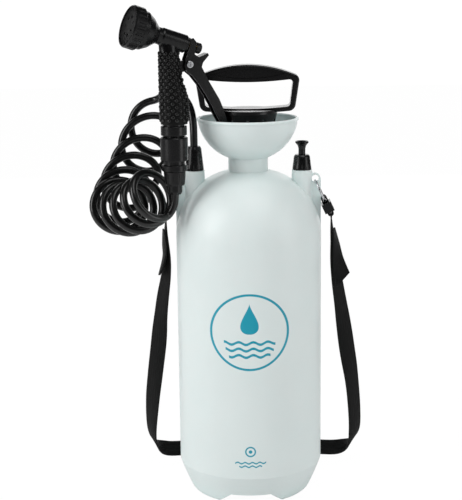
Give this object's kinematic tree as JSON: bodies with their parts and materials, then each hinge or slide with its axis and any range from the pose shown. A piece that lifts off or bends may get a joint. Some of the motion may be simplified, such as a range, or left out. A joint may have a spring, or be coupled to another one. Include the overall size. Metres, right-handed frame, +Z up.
{
  "type": "portable pump-up shower",
  "caption": "Upright pressure tank with a funnel top, a hand pump with a loop handle, a relief valve, a coiled hose with a spray gun, and a carrying strap.",
  "frame": {"origin": "on the floor, in the middle of the tank's base", "axes": "+Z up along the tank and the pump; +X towards the relief valve; -Y towards the front, where the round badge is"},
  "size_m": [0.3371, 0.2112, 0.612],
  "materials": {
    "translucent_tank": "milky, slightly translucent",
    "black_plastic": "satin black",
    "grey_plastic": "dark grey",
    "grip_rubber": "matt soft-touch",
    "hose_rubber": "smooth black",
    "seals": "matt black",
    "steel": "bright",
    "brass": "plain",
    "face_plate": "grey",
    "webbing": "woven black"
  },
  "bodies": {
    "tank": {"tank": "translucent_tank", "outlet_gasket": "seals", "outlet_nipple": "grey_plastic", "outlet_nut": "black_plastic", "dip_tube": "grey_plastic", "dip_strainer": "grey_plastic", "relief_nut": "black_plastic", "relief_spring": "steel", "hose_riser": "hose_rubber", "hose_coil": "hose_rubber"},
    "relief_valve": {"relief_knob": "grey_plastic", "relief_seal": "seals"},
    "pump_seal": {"pump_o_ring": "seals"},
    "pump": {"pump_barrel": "black_plastic", "pump_cap": "black_plastic", "rod_guide": "black_plastic", "barrel_foot": "black_plastic", "foot_valve_flap": "seals"},
    "plunger_seal": {"piston_ring": "seals"},
    "plunger": {"plunger_rod": "black_plastic", "piston": "black_plastic", "pump_handle": "black_plastic", "handle_pin": "steel"},
    "gun": {"gun_body": "black_plastic", "grip_sleeve": "grip_rubber", "gland_nut": "black_plastic", "turret_hub": "black_plastic", "connector_body": "black_plastic", "connector_spring": "steel", "hose_nut": "black_plastic", "hose_ferrule": "steel", "hose_tail": "hose_rubber", "pivot_screw": "steel", "pivot_nut": "steel", "inlet_gasket": "seals"},
    "turret": {"turret_head": "black_plastic", "nozzle_face": "face_plate"},
    "trigger": {"trigger_lever": "black_plastic"},
    "valve": {"valve_stem": "brass", "valve_washer": "seals", "valve_spring": "steel"},
    "knob": {"flow_knob": "black_plastic"},
    "sleeve": {"connector_sleeve": "black_plastic"},
    "strap": {"strap_webbing": "webbing", "strap_rings": "steel", "strap_sliders": "black_plastic"}
  },
  "joints": [
    {"name": "relief_lift", "type": "slide", "parent": "tank", "child": "relief_valve", "axis": [0, 0, 1], "range_m": [0, 0.003], "stiffness_N_per_m": 900, "deforming": ["relief_spring"]},
    {"name": "pump_rise", "type": "slide", "parent": "tank", "child": "pump_seal", "axis": [0, 0, 1], "range_m": [0, 0.008]},
    {"name": "pump_unscrew", "type": "hinge", "parent": "pump_seal", "child": "pump", "pos_m": [0, 0, 0.44], "axis": [0, 0, 1], "range_deg": [0, 720]},
    {"name": "pump_stroke", "type": "slide", "parent": "pump_seal", "child": "plunger_seal", "axis": [0, 0, 1], "range_m": [0, 0.17]},
    {"name": "handle_turn", "type": "hinge", "parent": "plunger_seal", "child": "plunger", "pos_m": [0, 0, 0.5], "axis": [0, 0, 1], "range_deg": [-75, 10]},
    {"name": "gun_lift", "type": "slide", "parent": "tank", "child": "gun", "axis": [-0.1183, -0.1183, 0.9859], "range_m": [0, 0.06]},
    {"name": "turret_turn", "type": "hinge", "parent": "gun", "child": "turret", "pos_m": [-0.0934, -0.056, 0.5728], "axis": [-0.8619, -0.4019, 0.309], "continuous": true},
    {"name": "trigger_squeeze", "type": "hinge", "parent": "gun", "child": "trigger", "pos_m": [-0.07029, -0.04522, 0.5421], "axis": [-0.4226, 0.9063, 0], "range_deg": [0, 7], "stiffness_Nm_per_rad": 1.2},
    {"name": "valve_pull", "type": "slide", "parent": "gun", "child": "valve", "axis": [0.8619, 0.4019, -0.309], "range_m": [0, 0.0033]},
    {"name": "knob_turn", "type": "hinge", "parent": "valve", "child": "knob", "pos_m": [-0.0934, -0.056, 0.5728], "axis": [-0.8619, -0.4019, 0.309], "range_deg": [0, 360]},
    {"name": "sleeve_pull", "type": "slide", "parent": "gun", "child": "sleeve", "axis": [0, 0, -1], "range_m": [0, 0.004], "stiffness_N_per_m": 900, "deforming": ["connector_spring"]},
    {"name": "strap_swing", "type": "hinge", "parent": "tank", "child": "strap", "pos_m": [0, 0, 0.396], "axis": [1, 0, 0], "range_deg": [0, 8]}
  ],
  "couplings": [
    {"joint": "pump_rise", "follows": "pump_unscrew", "m_per_rad": 0.00063662},
    {"joint": "valve_pull", "follows": "trigger_squeeze", "m_per_rad": 0.026}
  ]
}
